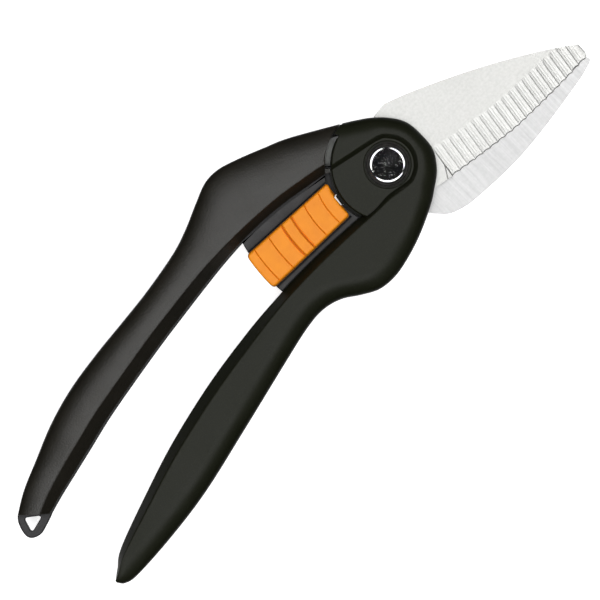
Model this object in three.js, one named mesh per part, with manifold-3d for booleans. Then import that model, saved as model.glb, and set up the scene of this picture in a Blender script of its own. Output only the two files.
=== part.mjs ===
// One-hand garden snips. Two handles are half-lapped on one pivot: the lower handle carries the
// fluted upper blade and the front half of the pivot head, the upper handle carries the plain
// lower blade and the rear half. A torsion spring round the pivot opens them, and a ribbed slider
// between the handles locks them closed.
// Millimetres. The origin is the centre of the pivot's flat rear face. +X runs along the tool to
// the blade tips, +Y to the upper handle and +Z out of the front, square to the blades.
import * as THREE from "three";
import { LoftGeometry } from "three/addons/geometries/LoftGeometry.js";
import { mergeVertices } from "three/addons/utils/BufferGeometryUtils.js";
import Module from "manifold-3d";

const wasm = await Module();
wasm.setup();

// Heights are measured from the plane where the two blades meet, halfway through the tool.
const HALF_THICKNESS = 8.5;
const PIVOT_HALF = 7.3; // from the blades' plane to either end of the pivot
const SHELL_BASE = 2.35; // where a handle shell starts, above or below the blades' plane
const CORE_HALF = 2; // half the thickness of a handle's core plate
const TAB_HALF = 1.6; // half the thickness of the hanging tab
const STRIP_HALF = 3.6; // half the height of the strips that the slider runs on
const BLADE_THICKNESS = 2;
const BLADE_GAP = 0.05; // from the blades' plane to either blade
const RIM_BASE = 0.15; // where the skirt of a pivot head starts
const RECESS_FLOOR = 6.3; // the sunk face round the pivot
const COUNTERBORE_FLOOR = 5.3;

// Radii about the pivot
const HEAD_SEAM = 16.05; // outside of a half-lapped pivot head
const HANDLE_SEAM = 17.9; // the other handle's end, across the seam
const STRIP_START = 16.6;
const STRIP_END = 47;
const RECESS_RADIUS = 7.3;
const COUNTERBORE_RADIUS = 6.7;
const BORE_RADIUS = 4.1;
const SPRING_POCKET_RADIUS = 7;
const BLADE_HEAD_RADIUS = 12.4;

const CLEARANCE = 0.35; // round a blade or pin that sits in a pocket
const LEDGE = 0.45; // how far the upper handle's core stands out under its shells' inner edge
const OPENING_ANGLE = 27; // degrees that the upper handle turns from closed to open

// Handle stations from the tail to the pivot, in the plan: the outer edge's x and y, the inner
// edge's x and y, and the width of the bevel along the inner edge.
const LOWER_GRIP = [
  [-138.8, -29.9, -138.6, -28.9, 0.2],
  [-137.3, -31.6, -135.8, -26.8, 1.2],
  [-132.8, -32.4, -131, -23.5, 2],
  [-118.3, -31.5, -116, -18, 2.6],
  [-102.3, -29.3, -99.5, -12.7, 3],
  [-82, -24.6, -80, -8.2, 3.2],
  [-63, -20, -61.5, -5.5, 3],
  [-50, -17, -49, -4.5, 2.5],
  [-42.5, -16.3, -41, -4.2, 2.4],
  [-36.5, -17.8, -33.5, -4.2, 2.3],
  [-31.5, -21, -27.5, -4.4, 2.2],
  [-26.5, -23.6, -22.5, -4.7, 2],
  [-20.5, -24.1, -17.5, -5, 1.9],
  [-13.5, -22.7, -12, -5.5, 1.7],
];
const UPPER_GRIP = [
  [-145.3, 4, -138.2, -2.6, 3],
  [-139.1, 7.7, -132.8, -1.1, 3.6],
  [-130.9, 11.2, -126, 0.5, 3.9],
  [-120.5, 15.5, -117.5, 2.5, 4],
  [-109.6, 18.6, -107.5, 4.9, 4],
  [-97.6, 20.5, -95.5, 7.1, 3.9],
  [-84, 21.9, -82, 9.3, 3.9],
  [-73.6, 23.1, -71, 10.8, 3.8],
  [-61.4, 25.3, -60, 12.2, 3.6],
  [-53.9, 27.7, -52.5, 13, 3.2],
  [-46.5, 30.9, -45, 13.5, 2.8],
  [-40.5, 33.2, -38.5, 13.5, 2.6],
  [-35.2, 33.3, -33, 13.2, 2.6],
  [-29, 31.4, -27.5, 12.6, 2.7],
  [-21.2, 28.3, -21.5, 11.6, 2.7],
  [-14.1, 25.2, -17, 10.8, 2.7],
];
// The rim of the pivot head, from its lower side round the front to its upper side
const HEAD_RIM = [
  [-6.5, -20.3], [0.7, -16.9], [4.5, -14.5], [9.1, -11], [12.4, -6.1], [13.05, -0.4],
  [12.6, 4.5], [10.3, 8.7], [6.1, 13], [-0.3, 17.3], [-6.4, 20.8],
];
const HEAD_BEVEL = 1.3;
const HANGING_TAB = [
  [-142, 6], [-145.9, 3.7], [-147.6, 0.9], [-148.1, -2.1], [-147.1, -3.8], [-144.8, -4.6],
  [-142.4, -4.1], [-137, -2.9],
];
const TAB_HOLE = [[-145, 2.2], [-140.7, -1.1], [-146.4, -2.5]];

// Blade outlines in the plan
const UPPER_SPINE = [
  [11.8, 13], [20.7, 9.5], [33.9, 3.3], [46.6, -3.5], [56.2, -9.4], [63.1, -14.1],
];
const UPPER_EDGE = [
  [61.7, -18.6], [52.2, -18.9], [39, -18.8], [32.4, -18.5], [21.3, -17.1], [11.2, -15.5],
];
const LOWER_SPINE = [
  [-1.2, -17.9], [2.9, -22.3], [7.4, -24.1], [12.5, -24.8], [24.8, -25.3], [37.2, -24.5],
  [55.5, -21.8], [62.8, -19.9],
];
const LOWER_EDGE = [[61.5, -18], [44, -15.5], [26, -11.8], [11.8, -6]];
// The tang of the lower blade, from the blade's head into the upper handle and back
const TANG = [
  [1.6, 12.3], [-4.5, 16.2], [-12, 20.3], [-19, 23.2], [-25, 23.6], [-27.5, 21.5], [-27, 18.5],
  [-22, 15.8], [-13.2, 10.7], [-11.2, 5.3],
];
const TANG_PINS = [[-13.5, 16.3], [-22.5, 19.6]];
const TANG_MIRROR_ANGLE = 174.35; // degrees; the upper blade's tang is a mirror image about it
const TANG_PIN_RADIUS = 1.5;
const SCALLOPS = 19;
const SCALLOP_DEPTH = 0.35;
const FLUTE_RADIUS = 2.1;
const FLUTE_DIRECTION = [0.136, 0.991]; // from the cutting edge to the spine
const FLUTE_LENGTHS = [8.7, 9.9]; // at the tip and at the head

// The slot between the handles' strips, as a centre line with a half width
const SLOT_LINE = [[-10, 2.3], [-52, 4.95]];
const SLOT_HALF = 1.75;
// Lock slider: ends as arcs about the pivot, sides as straight lines
const SLIDER_ENDS = [17.8, 47.8];
const SLIDER_SIDES = [[-10, 8.3], [-55, 10.6], [-55, -1.9], [-10, -2.9]];
const SLIDER_LEVELS = [3.9, 8];
const SLIDER_RIB = { radii: [31.5, 34.6], height: 0.7 };
const SLIDER_GROOVES = { radii: [21.4, 26.5, 39.7, 45], half: 0.3, depth: 0.4 };

const SPRING_WIRE = 0.8;
const SPRING_RADIUS = 5.6;
const SPRING_REACHES = [20.3, 10.6]; // radii of the moving leg's end and the held leg's end
const SPRING_LEG_ANGLE = 137; // degrees, the leg that pushes the upper handle
const SPRING_FIXED_ANGLE = 250; // degrees, the leg held by the lower handle

const finish = (color, roughness, metalness = 0) =>
  new THREE.MeshStandardMaterial({ color, roughness, metalness });
const blackNylon = finish(0x2b2a29, 0.55);
const softBlackNylon = finish(0x343232, 0.65);
const greyNylon = finish(0x4a4a4c, 0.6);
const orangeNylon = finish(0xf4942d, 0.45);
const brushedSteel = finish(0xdfe0e2, 0.3, 1);
const chrome = finish(0xd8dadd, 0.08, 1);
const springSteel = finish(0x9a9a98, 0.35, 1);

const radians = THREE.MathUtils.degToRad;
const polar = (radius, degrees) =>
  new THREE.Vector2(radius * Math.cos(radians(degrees)), radius * Math.sin(radians(degrees)));
const vectors = (pairs) => pairs.map(([x, y]) => new THREE.Vector2(x, y));
const smooth = (pairs, steps) => new THREE.SplineCurve(vectors(pairs)).getPoints(steps);
const mirrored = (point) =>
  polar(point.length(), 2 * TANG_MIRROR_ANGLE - THREE.MathUtils.radToDeg(point.angle()));

// ---- solids -------------------------------------------------------------------------------

function solid(geometry) {
  const bare = new THREE.BufferGeometry().setIndex(geometry.index);
  bare.setAttribute("position", geometry.attributes.position);
  const merged = mergeVertices(bare, 1e-4);
  return new wasm.Manifold(
    new wasm.Mesh({
      numProp: 3,
      vertProperties: merged.attributes.position.array,
      triVerts: new Uint32Array(merged.index.array),
    }),
  );
}

function piece(name, body, material) {
  const { vertProperties, triVerts } = body.getMesh();
  const geometry = new THREE.BufferGeometry();
  geometry.setAttribute("position", new THREE.BufferAttribute(vertProperties, 3));
  geometry.setIndex(new THREE.BufferAttribute(triVerts, 1));
  geometry.computeVertexNormals();
  const mesh = new THREE.Mesh(geometry, material);
  mesh.name = name;
  return mesh;
}

// An outline raised from one height to another
function slab(outline, low, high, curveSegments = 10) {
  const shape = outline instanceof THREE.Shape ? outline : new THREE.Shape(outline);
  const geometry = new THREE.ExtrudeGeometry(shape, {
    depth: high - low,
    bevelEnabled: false,
    curveSegments,
  });
  return solid(geometry.translate(0, 0, low));
}

function disc(radius, low, high, centre = new THREE.Vector2(), sides = 40) {
  const cylinder = new THREE.CylinderGeometry(radius, radius, high - low, sides);
  return solid(cylinder.rotateX(Math.PI / 2).translate(centre.x, centre.y, (low + high) / 2));
}

// Part of a ring about the pivot, between two radii and two angles in degrees
function ringSector(inner, outer, from, to, low, high) {
  const shape = new THREE.Shape();
  shape.absarc(0, 0, outer, radians(from), radians(to), false);
  shape.absarc(0, 0, inner, radians(to), radians(from), true);
  return slab(shape, low, high, Math.ceil(Math.abs(to - from) / 8) + 2);
}

const ring = (inner, outer, low, high) =>
  disc(outer, low, high, undefined, 64).subtract(disc(inner, low - 1, high + 1, undefined, 64));

// A straight bar between two points of the plan
function bar(from, to, halfWidth, low, high) {
  const aside = to.clone().sub(from).normalize().rotateAround(new THREE.Vector2(), Math.PI / 2);
  aside.multiplyScalar(halfWidth);
  const near = [from.clone().sub(aside), to.clone().sub(aside)];
  const far = [to.clone().add(aside), from.clone().add(aside)];
  return slab([...near, ...far], low, high);
}

// A closed outline moved outwards by a distance, for the pocket round a piece
function grown(outline, distance) {
  return outline.map((point, i) => {
    const before = outline[(i + outline.length - 1) % outline.length];
    const after = outline[(i + 1) % outline.length];
    const along = after.clone().sub(before).normalize();
    return point.clone().add(new THREE.Vector2(along.y, -along.x).multiplyScalar(distance));
  });
}

// ---- handles ------------------------------------------------------------------------------

// A station of a handle: its outer and inner edges, the ledge inside the shell, the bevel, the
// height that the bevel starts at, the height of the face and the width of the rounded outer edge.
function gripStations(rows, { tailFace, round, ledge }) {
  const faces = [tailFace, tailFace + 0.8, tailFace + 1.3];
  return rows.map(([ox, oy, ix, iy, bevel], i) => ({
    edges: [ox, oy, ix, iy],
    ledge,
    bevel,
    foot: SHELL_BASE + 0.8,
    face: faces[i] ?? HALF_THICKNESS,
    round,
  }));
}

// Stations round the pivot head. The recess opens to the left between two straight sides, each
// given by its two inner points from the left.
function headStations(lowerSide, upperSide) {
  const inners = HEAD_RIM.map((rim) => {
    const point = polar(RECESS_RADIUS, THREE.MathUtils.radToDeg(Math.atan2(rim[1], rim[0])));
    return [point.x, point.y];
  });
  inners.splice(0, 2, ...lowerSide);
  inners.splice(-2, 2, ...[...upperSide].reverse());
  return HEAD_RIM.map((rim, i) => ({
    edges: [...rim, ...inners[i]],
    ledge: 0,
    bevel: HEAD_BEVEL,
    foot: RECESS_FLOOR - 0.2,
    face: HALF_THICKNESS,
    round: 2.8,
  }));
}

const LOWER_STATIONS = gripStations(LOWER_GRIP, { tailFace: 6.4, round: 3.6, ledge: 0 });
const UPPER_STATIONS = gripStations(UPPER_GRIP, { tailFace: 6, round: 5, ledge: LEDGE });
const FRONT_HEAD = headStations([[-6.4, -6.1], [0.2, -7.1]], [[-14.2, 10.4], [-5.5, 8.5]]);
const REAR_HEAD = headStations([[-14.2, -10.4], [-5.5, -8.5]], [[-10, 9.3], [-3.5, 8]]).reverse();

function sampled(stations, stepsPerSpan) {
  const steps = (stations.length - 1) * stepsPerSpan;
  const track = (pick) => smooth(stations.map(pick), steps);
  const outer = track((s) => s.edges.slice(0, 2));
  const inner = track((s) => s.edges.slice(2));
  const ledges = track((s) => [s.ledge, 0]);
  const bevels = track((s) => [s.bevel, s.foot]);
  const faces = track((s) => [s.face, s.round]);
  return outer.map((point, i) => ({
    outer: point,
    inner: inner[i],
    ledge: ledges[i].x,
    bevel: bevels[i].x,
    foot: bevels[i].y,
    face: Math.min(faces[i].x, HALF_THICKNESS),
    round: faces[i].y,
  }));
}

// The cross-section of a shell: up the bevel, over the face and down the rounded outer edge
function shellSection({ outer, inner, ledge, bevel, foot, face, round }, crown) {
  const across = outer.clone().sub(inner);
  const width = across.length();
  across.normalize();
  const radius = Math.min(round, 0.6 * (width - bevel));
  const flatEnd = width - radius;
  const at = (distance, z) => {
    const plan = inner.clone().addScaledVector(across, distance);
    return new THREE.Vector3(plan.x, plan.y, z);
  };
  const points = [
    at(ledge, SHELL_BASE),
    at(ledge, foot),
    at(bevel, face - crown),
    at((bevel + flatEnd) / 2, face),
  ];
  const drop = face - crown / 2 - SHELL_BASE - 0.8;
  for (let step = 0; step <= 4; step++) {
    const angle = (Math.PI / 2) * (step / 4);
    const z = SHELL_BASE + 0.8 + drop * Math.cos(angle);
    points.push(at(flatEnd + radius * Math.sin(angle), z));
  }
  points.push(at(width, SHELL_BASE));
  return points;
}

// A shell over a run of stations; side is 1 for the front of the tool and -1 for the rear
function shell(stations, side, innerIsRight, crown = 0) {
  const sections = sampled(stations, 2).map((station) => {
    const points = shellSection(station, crown);
    points.forEach((point) => (point.z *= side));
    return innerIsRight === side > 0 ? points : points.reverse();
  });
  return solid(new LoftGeometry(sections, { capStart: true, capEnd: true }));
}

// A slab between two heights that are given for the front and turned over for the rear
const sided = (side, low, high) => (side > 0 ? [low, high] : [-high, -low]);

// The sunk floor of the recess, out to the seam, between the recess's two straight sides
function recessFloor(side, corners) {
  const heights = sided(side, SHELL_BASE, RECESS_FLOOR);
  const wedge = slab(vectors(corners), ...heights).intersect(disc(HEAD_SEAM, ...heights, undefined, 72));
  return disc(RECESS_RADIUS + 1, ...heights).add(wedge);
}

// The skirt of the pivot head that closes the layer of its own blade, left of the pivot
function headSkirt(side, blade) {
  const heights = sided(side, RIM_BASE, SHELL_BASE + 0.2);
  const rim = new THREE.SplineCurve(vectors(HEAD_RIM)).getPoints(30);
  const left = vectors([[-25, 25], [-25, -25]]);
  const round = disc(HEAD_SEAM, ...heights, undefined, 72);
  const outline = slab([...left, ...rim], ...heights).intersect(round);
  const mouth = slab(vectors([[4.9, -30], [40, -30], [40, 30], [4.9, 30]]), ...sided(side, -5, 5));
  const pocket = slab(grown(blade, CLEARANCE), ...sided(side, -5, 5));
  return outline.subtract(mouth).subtract(pocket);
}

function pivotBores(body, side) {
  return body
    .subtract(disc(BORE_RADIUS, -20, 20))
    .subtract(disc(COUNTERBORE_RADIUS, ...sided(side, COUNTERBORE_FLOOR, 20)));
}

// Room under the front head for the return spring: its coil, its held leg and its moving leg
function springPocket() {
  const low = SHELL_BASE - 0.1;
  const moving = [SPRING_LEG_ANGLE - OPENING_ANGLE - 5, SPRING_LEG_ANGLE + 15];
  return disc(SPRING_POCKET_RADIUS, low, 4.6)
    .add(bar(polar(5, SPRING_FIXED_ANGLE), polar(11.2, SPRING_FIXED_ANGLE), 1.4, low, 4.6))
    .add(ringSector(5, HEAD_SEAM + 1, ...moving, low, 3.6));
}

function lowerFrontShell(blade) {
  const seam = ringSector(HEAD_SEAM, 24, 80, 190, -20, 20);
  const floor = [[0, -8], [0, 8.1], [-16.5, 11.8], [-22, 0], [-16.5, -6]];
  const body = shell([...LOWER_STATIONS, ...FRONT_HEAD], 1, true)
    .subtract(seam)
    .add(recessFloor(1, floor))
    .add(headSkirt(1, blade));
  return piece("lower_handle_front_shell", pivotBores(body, 1).subtract(springPocket()), blackNylon);
}

function upperRearShell(blade) {
  const seam = ringSector(HEAD_SEAM, 24, 165, 280, -20, 20);
  const floor = [[0, -8.1], [0, 8], [-16, 11], [-22, 0], [-16.5, -11.8]];
  const body = shell([...UPPER_STATIONS, ...REAR_HEAD], -1, false, 0.5)
    .subtract(seam)
    .add(recessFloor(-1, floor))
    .add(headSkirt(-1, blade));
  return piece("upper_handle_rear_shell", pivotBores(body, -1), softBlackNylon);
}

function handleEnd(stations, last) {
  const [ox, oy, ix, iy] = last;
  const nearest = stations[stations.length - 1];
  return [...stations, { ...nearest, edges: [ox, oy, ix, iy] }];
}

function lowerRearShell() {
  const stations = handleEnd(LOWER_STATIONS, [-4, -19.2, -9, -5.8]);
  const body = shell(stations, -1, true).subtract(disc(HANDLE_SEAM, -20, 20, undefined, 72));
  return piece("lower_handle_rear_shell", body, blackNylon);
}

function upperFrontShell() {
  const stations = handleEnd(UPPER_STATIONS, [0, 17.1, -9, 9.2]);
  const leg = bar(polar(16, SPRING_LEG_ANGLE), polar(21, SPRING_LEG_ANGLE), 0.8, 1, 3.6);
  const body = shell(stations, 1, false, 0.5)
    .subtract(disc(HANDLE_SEAM, -20, 20, undefined, 72))
    .subtract(leg);
  return piece("upper_handle_front_shell", body, softBlackNylon);
}

// ---- cores --------------------------------------------------------------------------------

// The inner or outer rail of a handle, moved across the handle towards the outer edge
function rail(stations, name, shift) {
  return sampled(stations, 2).map((station) => {
    const across = station.outer.clone().sub(station.inner).normalize();
    return station[name].clone().addScaledVector(across, shift);
  });
}

// The plan of a core: its shells' plan, drawn in a little along the outer edge
const coreOutline = (stations) => [
  ...rail(stations, "outer", -0.3),
  ...rail(stations, "inner", 0).reverse(),
];

// The strip that the slider runs on, from the handle's inner edge to the slot. It stands clear of
// the shells at its full height and runs into the core at the core's height.
function strip(stations, upward) {
  const edge = vectors(SLOT_LINE).map((point) => point.setY(point.y + upward * SLOT_HALF));
  const layer = (shift, half) => {
    const inner = rail(stations, "inner", shift).filter((point) => point.x > -56);
    return slab([...inner, ...edge], -half, half);
  };
  return layer(-0.35, STRIP_HALF)
    .add(layer(0.6, CORE_HALF))
    .intersect(ring(STRIP_START, STRIP_END, -HALF_THICKNESS, HALF_THICKNESS));
}

// The groove along a strip for the slider's tongue; it is open at the strip's end
function tongueGroove(upward, reach) {
  const [start, end] = vectors(SLOT_LINE);
  const from = start.clone().lerp(end, 0.42);
  const to = end.clone().lerp(start, -0.1);
  const shift = new THREE.Vector2(0, upward * (SLOT_HALF + reach / 2 - 0.5));
  return bar(from.add(shift), to.add(shift), reach / 2 + 0.5, -1.3, 1.3);
}

function tangCuts(body, tang, pins) {
  const low = tang.low - CLEARANCE;
  const high = tang.low + BLADE_THICKNESS + CLEARANCE;
  let cut = body.subtract(slab(grown(tang.outline, CLEARANCE), low, high));
  for (const pin of pins) cut = cut.subtract(disc(TANG_PIN_RADIUS + 0.3, -9, 9, pin, 16));
  return cut;
}

function lowerCore(tang, pins) {
  const stations = handleEnd(LOWER_STATIONS, [-4, -19.2, -9, -5.8]);
  const heelRelief = ringSector(10, 25.7, 234, 275, -9, 0.3);
  const springSeat = bar(...vectors([[-41.2, 0.1], [-26.8, 0.1]]), 1.4, 2.5, 9);
  let body = slab(coreOutline(stations), -CORE_HALF, CORE_HALF)
    .subtract(disc(HANDLE_SEAM, -20, 20, undefined, 72))
    .add(strip(stations, -1))
    .subtract(heelRelief)
    .subtract(springSeat)
    .subtract(tongueGroove(-1, 2.7));
  body = tangCuts(body, tang, pins);
  return piece("lower_handle_core", body, greyNylon);
}

function hangingTab() {
  const outline = smooth(HANGING_TAB, 16);
  const corners = vectors(TAB_HOLE);
  const hole = new THREE.Path();
  corners.forEach((corner, i) => {
    const next = corners[(i + 1) % 3];
    const before = corners[(i + 2) % 3];
    const entry = corner.clone().lerp(before, 0.25);
    const exit = corner.clone().lerp(next, 0.25);
    if (i === 0) hole.moveTo(entry.x, entry.y);
    else hole.lineTo(entry.x, entry.y);
    hole.quadraticCurveTo(corner.x, corner.y, exit.x, exit.y);
  });
  const shape = new THREE.Shape(outline);
  shape.holes.push(hole);
  return slab(shape, -TAB_HALF, TAB_HALF, 4);
}

function upperCore(tang, pins) {
  const stations = handleEnd(UPPER_STATIONS, [0, 17.1, -9, 9.2]);
  let body = slab(coreOutline(stations), -CORE_HALF, CORE_HALF)
    .add(hangingTab())
    .subtract(disc(HANDLE_SEAM, -20, 20, undefined, 72))
    .add(strip(stations, 1))
    .subtract(tongueGroove(1, 2.7));
  body = tangCuts(body, tang, pins);
  return piece("upper_handle_core", body, greyNylon);
}

// ---- blades -------------------------------------------------------------------------------

// The cutting edge of the upper blade, from the tip back to the head, as a row of shallow hollows
function scallopedEdge() {
  const edge = new THREE.SplineCurve(vectors(UPPER_EDGE));
  const points = [];
  for (let i = 0; i <= SCALLOPS * 3; i++) {
    const point = edge.getPointAt(i / (SCALLOPS * 3));
    if (i % 3) point.y += SCALLOP_DEPTH;
    points.push(point);
  }
  return points;
}

// The hidden round of a blade's head between two angles in degrees, clockwise
function bladeHead(from, to) {
  const points = [];
  for (let i = 0; i <= 12; i++) {
    points.push(polar(BLADE_HEAD_RADIUS, THREE.MathUtils.lerp(from, to, i / 12)));
  }
  return points;
}

const upperTang = () => vectors(TANG).map(mirrored);

// Both outlines run counter-clockwise.
function upperBladeOutline() {
  const spine = smooth(UPPER_SPINE, 14).reverse();
  const ricasso = vectors([[9.1, -15], [5.4, -14.3]]);
  const tip = vectors([[62.9, -18.1]]);
  const clockwise = [...spine.reverse(), ...tip, ...scallopedEdge(), ...ricasso, ...upperTang()];
  return [...clockwise, ...bladeHead(200, 62), new THREE.Vector2(7.2, 12.6)].reverse();
}

function lowerBladeOutline() {
  const spine = smooth(LOWER_SPINE, 20);
  const edge = smooth(LOWER_EDGE, 10);
  const round = bladeHead(-20, 60).slice(0, -1);
  return [...spine, ...edge, ...round, ...vectors(TANG), ...bladeHead(165, 230)];
}

// One flute, from the grind line down to the cutting edge, as a tilted rod to be cut away
function flute(top, foot, bladeTop) {
  const radius = FLUTE_RADIUS;
  const start = new THREE.Vector3(top.x, top.y, bladeTop + radius);
  const end = new THREE.Vector3(foot.x, foot.y, BLADE_GAP + 0.5 + radius);
  const along = end.clone().sub(start);
  const rod = new THREE.CylinderGeometry(radius, radius, along.length() * 1.6, 14);
  const upright = new THREE.Vector3(0, 1, 0);
  const turn = new THREE.Quaternion().setFromUnitVectors(upright, along.clone().normalize());
  const middle = start.clone().addScaledVector(along, 0.8);
  return solid(rod.applyQuaternion(turn).translate(middle.x, middle.y, middle.z));
}

function bladeBores(body, pins) {
  let cut = body.subtract(disc(BORE_RADIUS, -9, 9));
  for (const pin of pins) cut = cut.subtract(disc(TANG_PIN_RADIUS + 0.3, -9, 9, pin, 16));
  return cut;
}

function upperBlade(outline, pins) {
  const top = BLADE_GAP + BLADE_THICKNESS;
  const edge = new THREE.SplineCurve(vectors(UPPER_EDGE));
  let body = slab(outline, BLADE_GAP, top);
  for (let i = 0; i < SCALLOPS; i++) {
    const share = (i + 0.5) / SCALLOPS;
    const foot = edge.getPointAt(share);
    const length = THREE.MathUtils.lerp(...FLUTE_LENGTHS, share);
    const head = foot.clone().addScaledVector(new THREE.Vector2(...FLUTE_DIRECTION), length);
    body = body.subtract(flute(head, foot, top));
  }
  return piece("upper_blade", bladeBores(body, pins), brushedSteel);
}

function lowerBlade(outline, pins) {
  const body = slab(outline, -BLADE_GAP - BLADE_THICKNESS, -BLADE_GAP);
  return piece("lower_blade", bladeBores(body, pins), brushedSteel);
}

const tangPin = (name, centre) =>
  piece(name, disc(TANG_PIN_RADIUS, -2.1, 2.1, centre, 16), springSteel);

// ---- pivot --------------------------------------------------------------------------------

function turned(name, profile, material, sides = 40) {
  const lathe = new THREE.LatheGeometry(vectors(profile), sides);
  return piece(name, solid(lathe.rotateX(Math.PI / 2)), material);
}

// Profiles are radius and height, listed from the bottom up.
const pivotRivet = () =>
  turned("pivot_rivet", [
    [0, -6], [2.65, -6], [2.65, 5.9], [5.33, 5.9], [5.33, 6.4], [4.9, 6.85], [3.6, 7.15],
    [0, PIVOT_HALF],
  ], chrome);

const pivotSleeve = () =>
  turned("pivot_sleeve", [
    [0, -PIVOT_HALF], [3.6, -PIVOT_HALF], [4.9, -6.95], [5.33, -6.4], [5.33, -5.9],
    [3.8, -5.9], [3.8, 5.75], [2.95, 5.75], [2.95, -6.3], [0, -6.3],
  ], chrome);

function washer(name, low) {
  const [hole, edge, high] = [4.1, 6.3, low + 0.35];
  return turned(name, [[hole, low], [edge, low], [edge, high], [hole, high], [hole, low]], springSteel);
}

// Wire of the return spring: in along the moving leg, round the sleeve and out to the held leg
class SpringPath extends THREE.Curve {
  static COIL_START = SPRING_LEG_ANGLE + 8;
  static COIL_END = SPRING_FIXED_ANGLE + 360 - 8;
  static LOW = SHELL_BASE + 0.5;
  static HIGH = SHELL_BASE + 1.65;

  getPoint(t, target = new THREE.Vector3()) {
    const { COIL_START, COIL_END, LOW, HIGH } = SpringPath;
    const legIn = THREE.MathUtils.smoothstep(t, 0, 0.2);
    const legOut = THREE.MathUtils.smoothstep(t, 0.92, 1);
    const coil = THREE.MathUtils.clamp((t - 0.16) / 0.78, 0, 1);
    const bend = 8 * Math.min(t / 0.16, 1) ** 4 - 8;
    const degrees = THREE.MathUtils.lerp(COIL_START, COIL_END, coil) + bend;
    const [moving, held] = SPRING_REACHES.map((reach) => reach - SPRING_RADIUS);
    const radius = SPRING_RADIUS + moving * (1 - legIn) + held * legOut;
    const plan = polar(radius, degrees + 8 * legOut);
    return target.set(plan.x, plan.y, THREE.MathUtils.lerp(LOW, HIGH, coil));
  }
}

function returnSpring() {
  const section = new THREE.Shape();
  section.absarc(0, 0, SPRING_WIRE / 2, 0, 2 * Math.PI, false);
  const extrudePath = new SpringPath();
  const wire = new THREE.ExtrudeGeometry(section, { steps: 52, curveSegments: 6, extrudePath });
  return piece("return_spring", solid(wire), springSteel);
}

// ---- lock ---------------------------------------------------------------------------------

function sliderPlate(name, side) {
  const [low, high] = SLIDER_LEVELS;
  const sides = slab(vectors(SLIDER_SIDES).reverse(), ...sided(side, low, high));
  let body = sides.intersect(ring(...SLIDER_ENDS, -20, 20));
  for (const radius of SLIDER_GROOVES.radii) {
    const { half, depth } = SLIDER_GROOVES;
    body = body.subtract(ring(radius - half, radius + half, ...sided(side, high - depth, high + 1)));
  }
  const ribHeight = side > 0 ? SLIDER_RIB.height : 0;
  const rib = slab(vectors(SLIDER_SIDES).reverse(), ...sided(side, low, high + ribHeight));
  body = body.add(rib.intersect(ring(...SLIDER_RIB.radii, -20, 20)));
  return piece(name, body, orangeNylon);
}

// The stem in the slot, with a tongue into each handle's strip
function lockStem() {
  const [start, end] = vectors(SLOT_LINE);
  const along = (share) => start.clone().lerp(end, share);
  const stem = bar(along(0.34), along(0.79), SLOT_HALF - 0.35, -3.75, 3.75);
  const tongues = bar(along(0.46), along(0.7), SLOT_HALF + 2.2, -1, 1);
  return piece("lock_stem", stem.add(tongues), orangeNylon);
}

// The bowed leaf that the slider clicks over, in its seat in the lower strip
function detentSpring() {
  const [low, rise, half, thickness] = [2.65, 0.65, 6.6, 0.35];
  const points = [];
  for (let i = 0; i <= 8; i++) {
    const share = i / 4 - 1;
    points.push(new THREE.Vector2(half * share, low + rise * (1 - share * share)));
  }
  const upper = points.map((p) => new THREE.Vector2(p.x, p.y + thickness)).reverse();
  const shape = new THREE.Shape([...points, ...upper]);
  const leaf = new THREE.ExtrudeGeometry(shape, { depth: 2, bevelEnabled: false });
  leaf.rotateX(Math.PI / 2).translate(-34, 1.1, 0);
  return piece("lock_detent_spring", solid(leaf), springSteel);
}

// ---- assembly -----------------------------------------------------------------------------

function lowerHandle(upperPins, upperOutline) {
  const group = new THREE.Group();
  const tang = { outline: upperOutline, low: BLADE_GAP };
  group.add(
    lowerCore(tang, upperPins),
    lowerFrontShell(upperOutline),
    lowerRearShell(),
    upperBlade(upperOutline, upperPins),
    ...upperPins.map((centre, i) => tangPin(`upper_blade_pin_${i + 1}`, centre)),
    pivotRivet(),
    pivotSleeve(),
    washer("pivot_washer_front", COUNTERBORE_FLOOR + 0.1),
    washer("pivot_washer_rear", -COUNTERBORE_FLOOR - 0.45),
    returnSpring(),
    detentSpring(),
  );
  return group;
}

function upperHandle(lowerPins, lowerOutline) {
  const group = new THREE.Group();
  const tang = { outline: lowerOutline, low: -BLADE_GAP - BLADE_THICKNESS };
  group.add(
    upperCore(tang, lowerPins),
    upperFrontShell(),
    upperRearShell(lowerOutline),
    lowerBlade(lowerOutline, lowerPins),
    ...lowerPins.map((centre, i) => tangPin(`lower_blade_pin_${i + 1}`, centre)),
  );
  return group;
}

function lockSlider() {
  const group = new THREE.Group();
  group.add(sliderPlate("lock_slider_front", 1), sliderPlate("lock_slider_rear", -1), lockStem());
  return group;
}

const lowerPins = vectors(TANG_PINS);
const snips = new THREE.Group();
snips.add(
  lowerHandle(lowerPins.map(mirrored), upperBladeOutline()),
  upperHandle(lowerPins, lowerBladeOutline()),
  lockSlider(),
);
snips.children.forEach((group) => group.position.setZ(PIVOT_HALF));

export default snips;
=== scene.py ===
"""One-hand garden snips: the fine meshes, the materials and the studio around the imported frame.

Shapes are worked out in millimetres, with heights measured from the plane where the two blades
meet, as the part is designed, and are turned into metres when a piece is finished.
"""

import math

import bmesh
import bpy
import numpy as np
from mathutils import Matrix, Vector


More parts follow.
